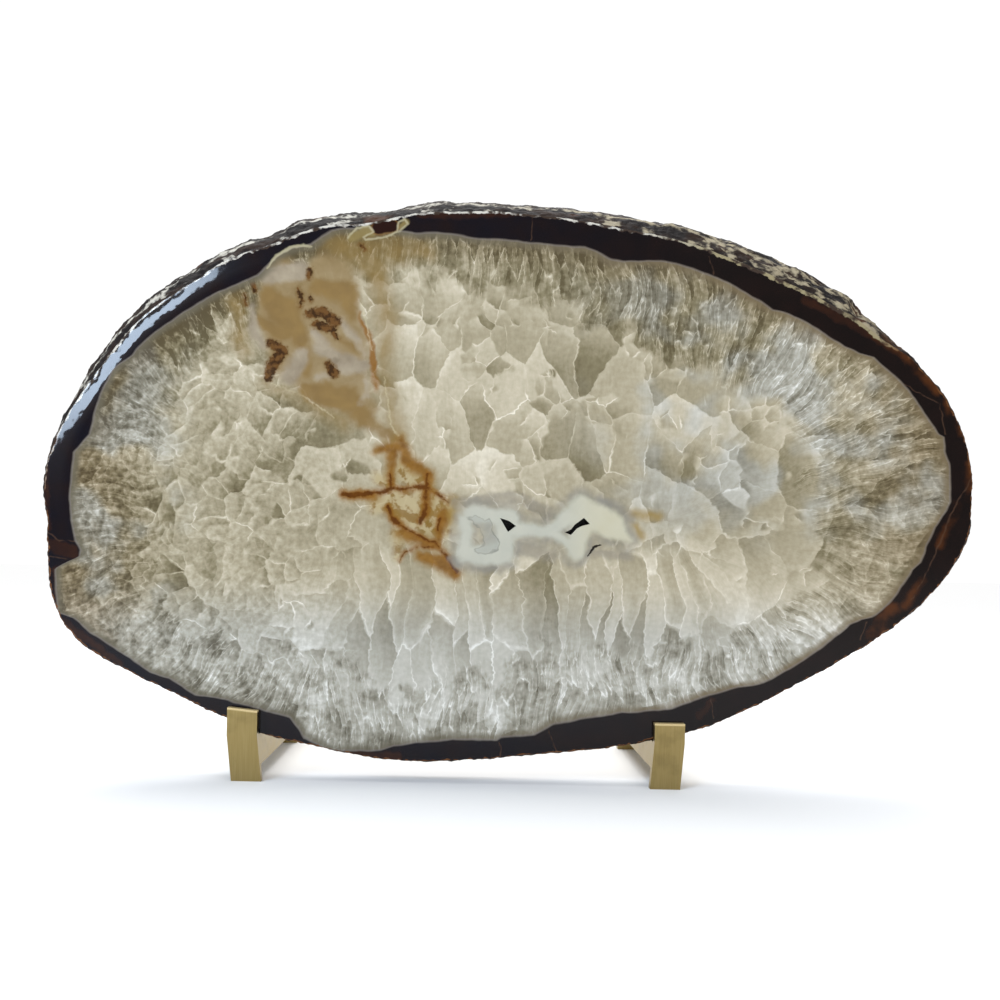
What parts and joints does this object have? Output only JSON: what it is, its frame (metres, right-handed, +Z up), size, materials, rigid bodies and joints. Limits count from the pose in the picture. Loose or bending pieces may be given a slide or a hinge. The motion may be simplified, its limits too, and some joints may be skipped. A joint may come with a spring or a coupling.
{
  "type": "agate slice",
  "caption": "Large polished oval slice of quartz-filled agate with a rough natural rim, standing upright on a pair of slotted satin brass feet.",
  "frame": {"origin": "On the ground, in the middle of the object's box", "axes": "+X to the viewer's right along the slice's long side, +Y away from the viewer through its thickness, +Z up. The polished front face looks towards -Y."},
  "size_m": [0.3759, 0.1, 0.2366],
  "materials": {
    "agate": "polished cream and grey quartz with a dark chalcedony band at the rim, rough grey-white skin round the edge",
    "brass": "satin brushed brass"
  },
  "bodies": {
    "root": {"agate_slice": "agate", "left_foot": "brass", "right_foot": "brass"}
  },
  "joints": []
}
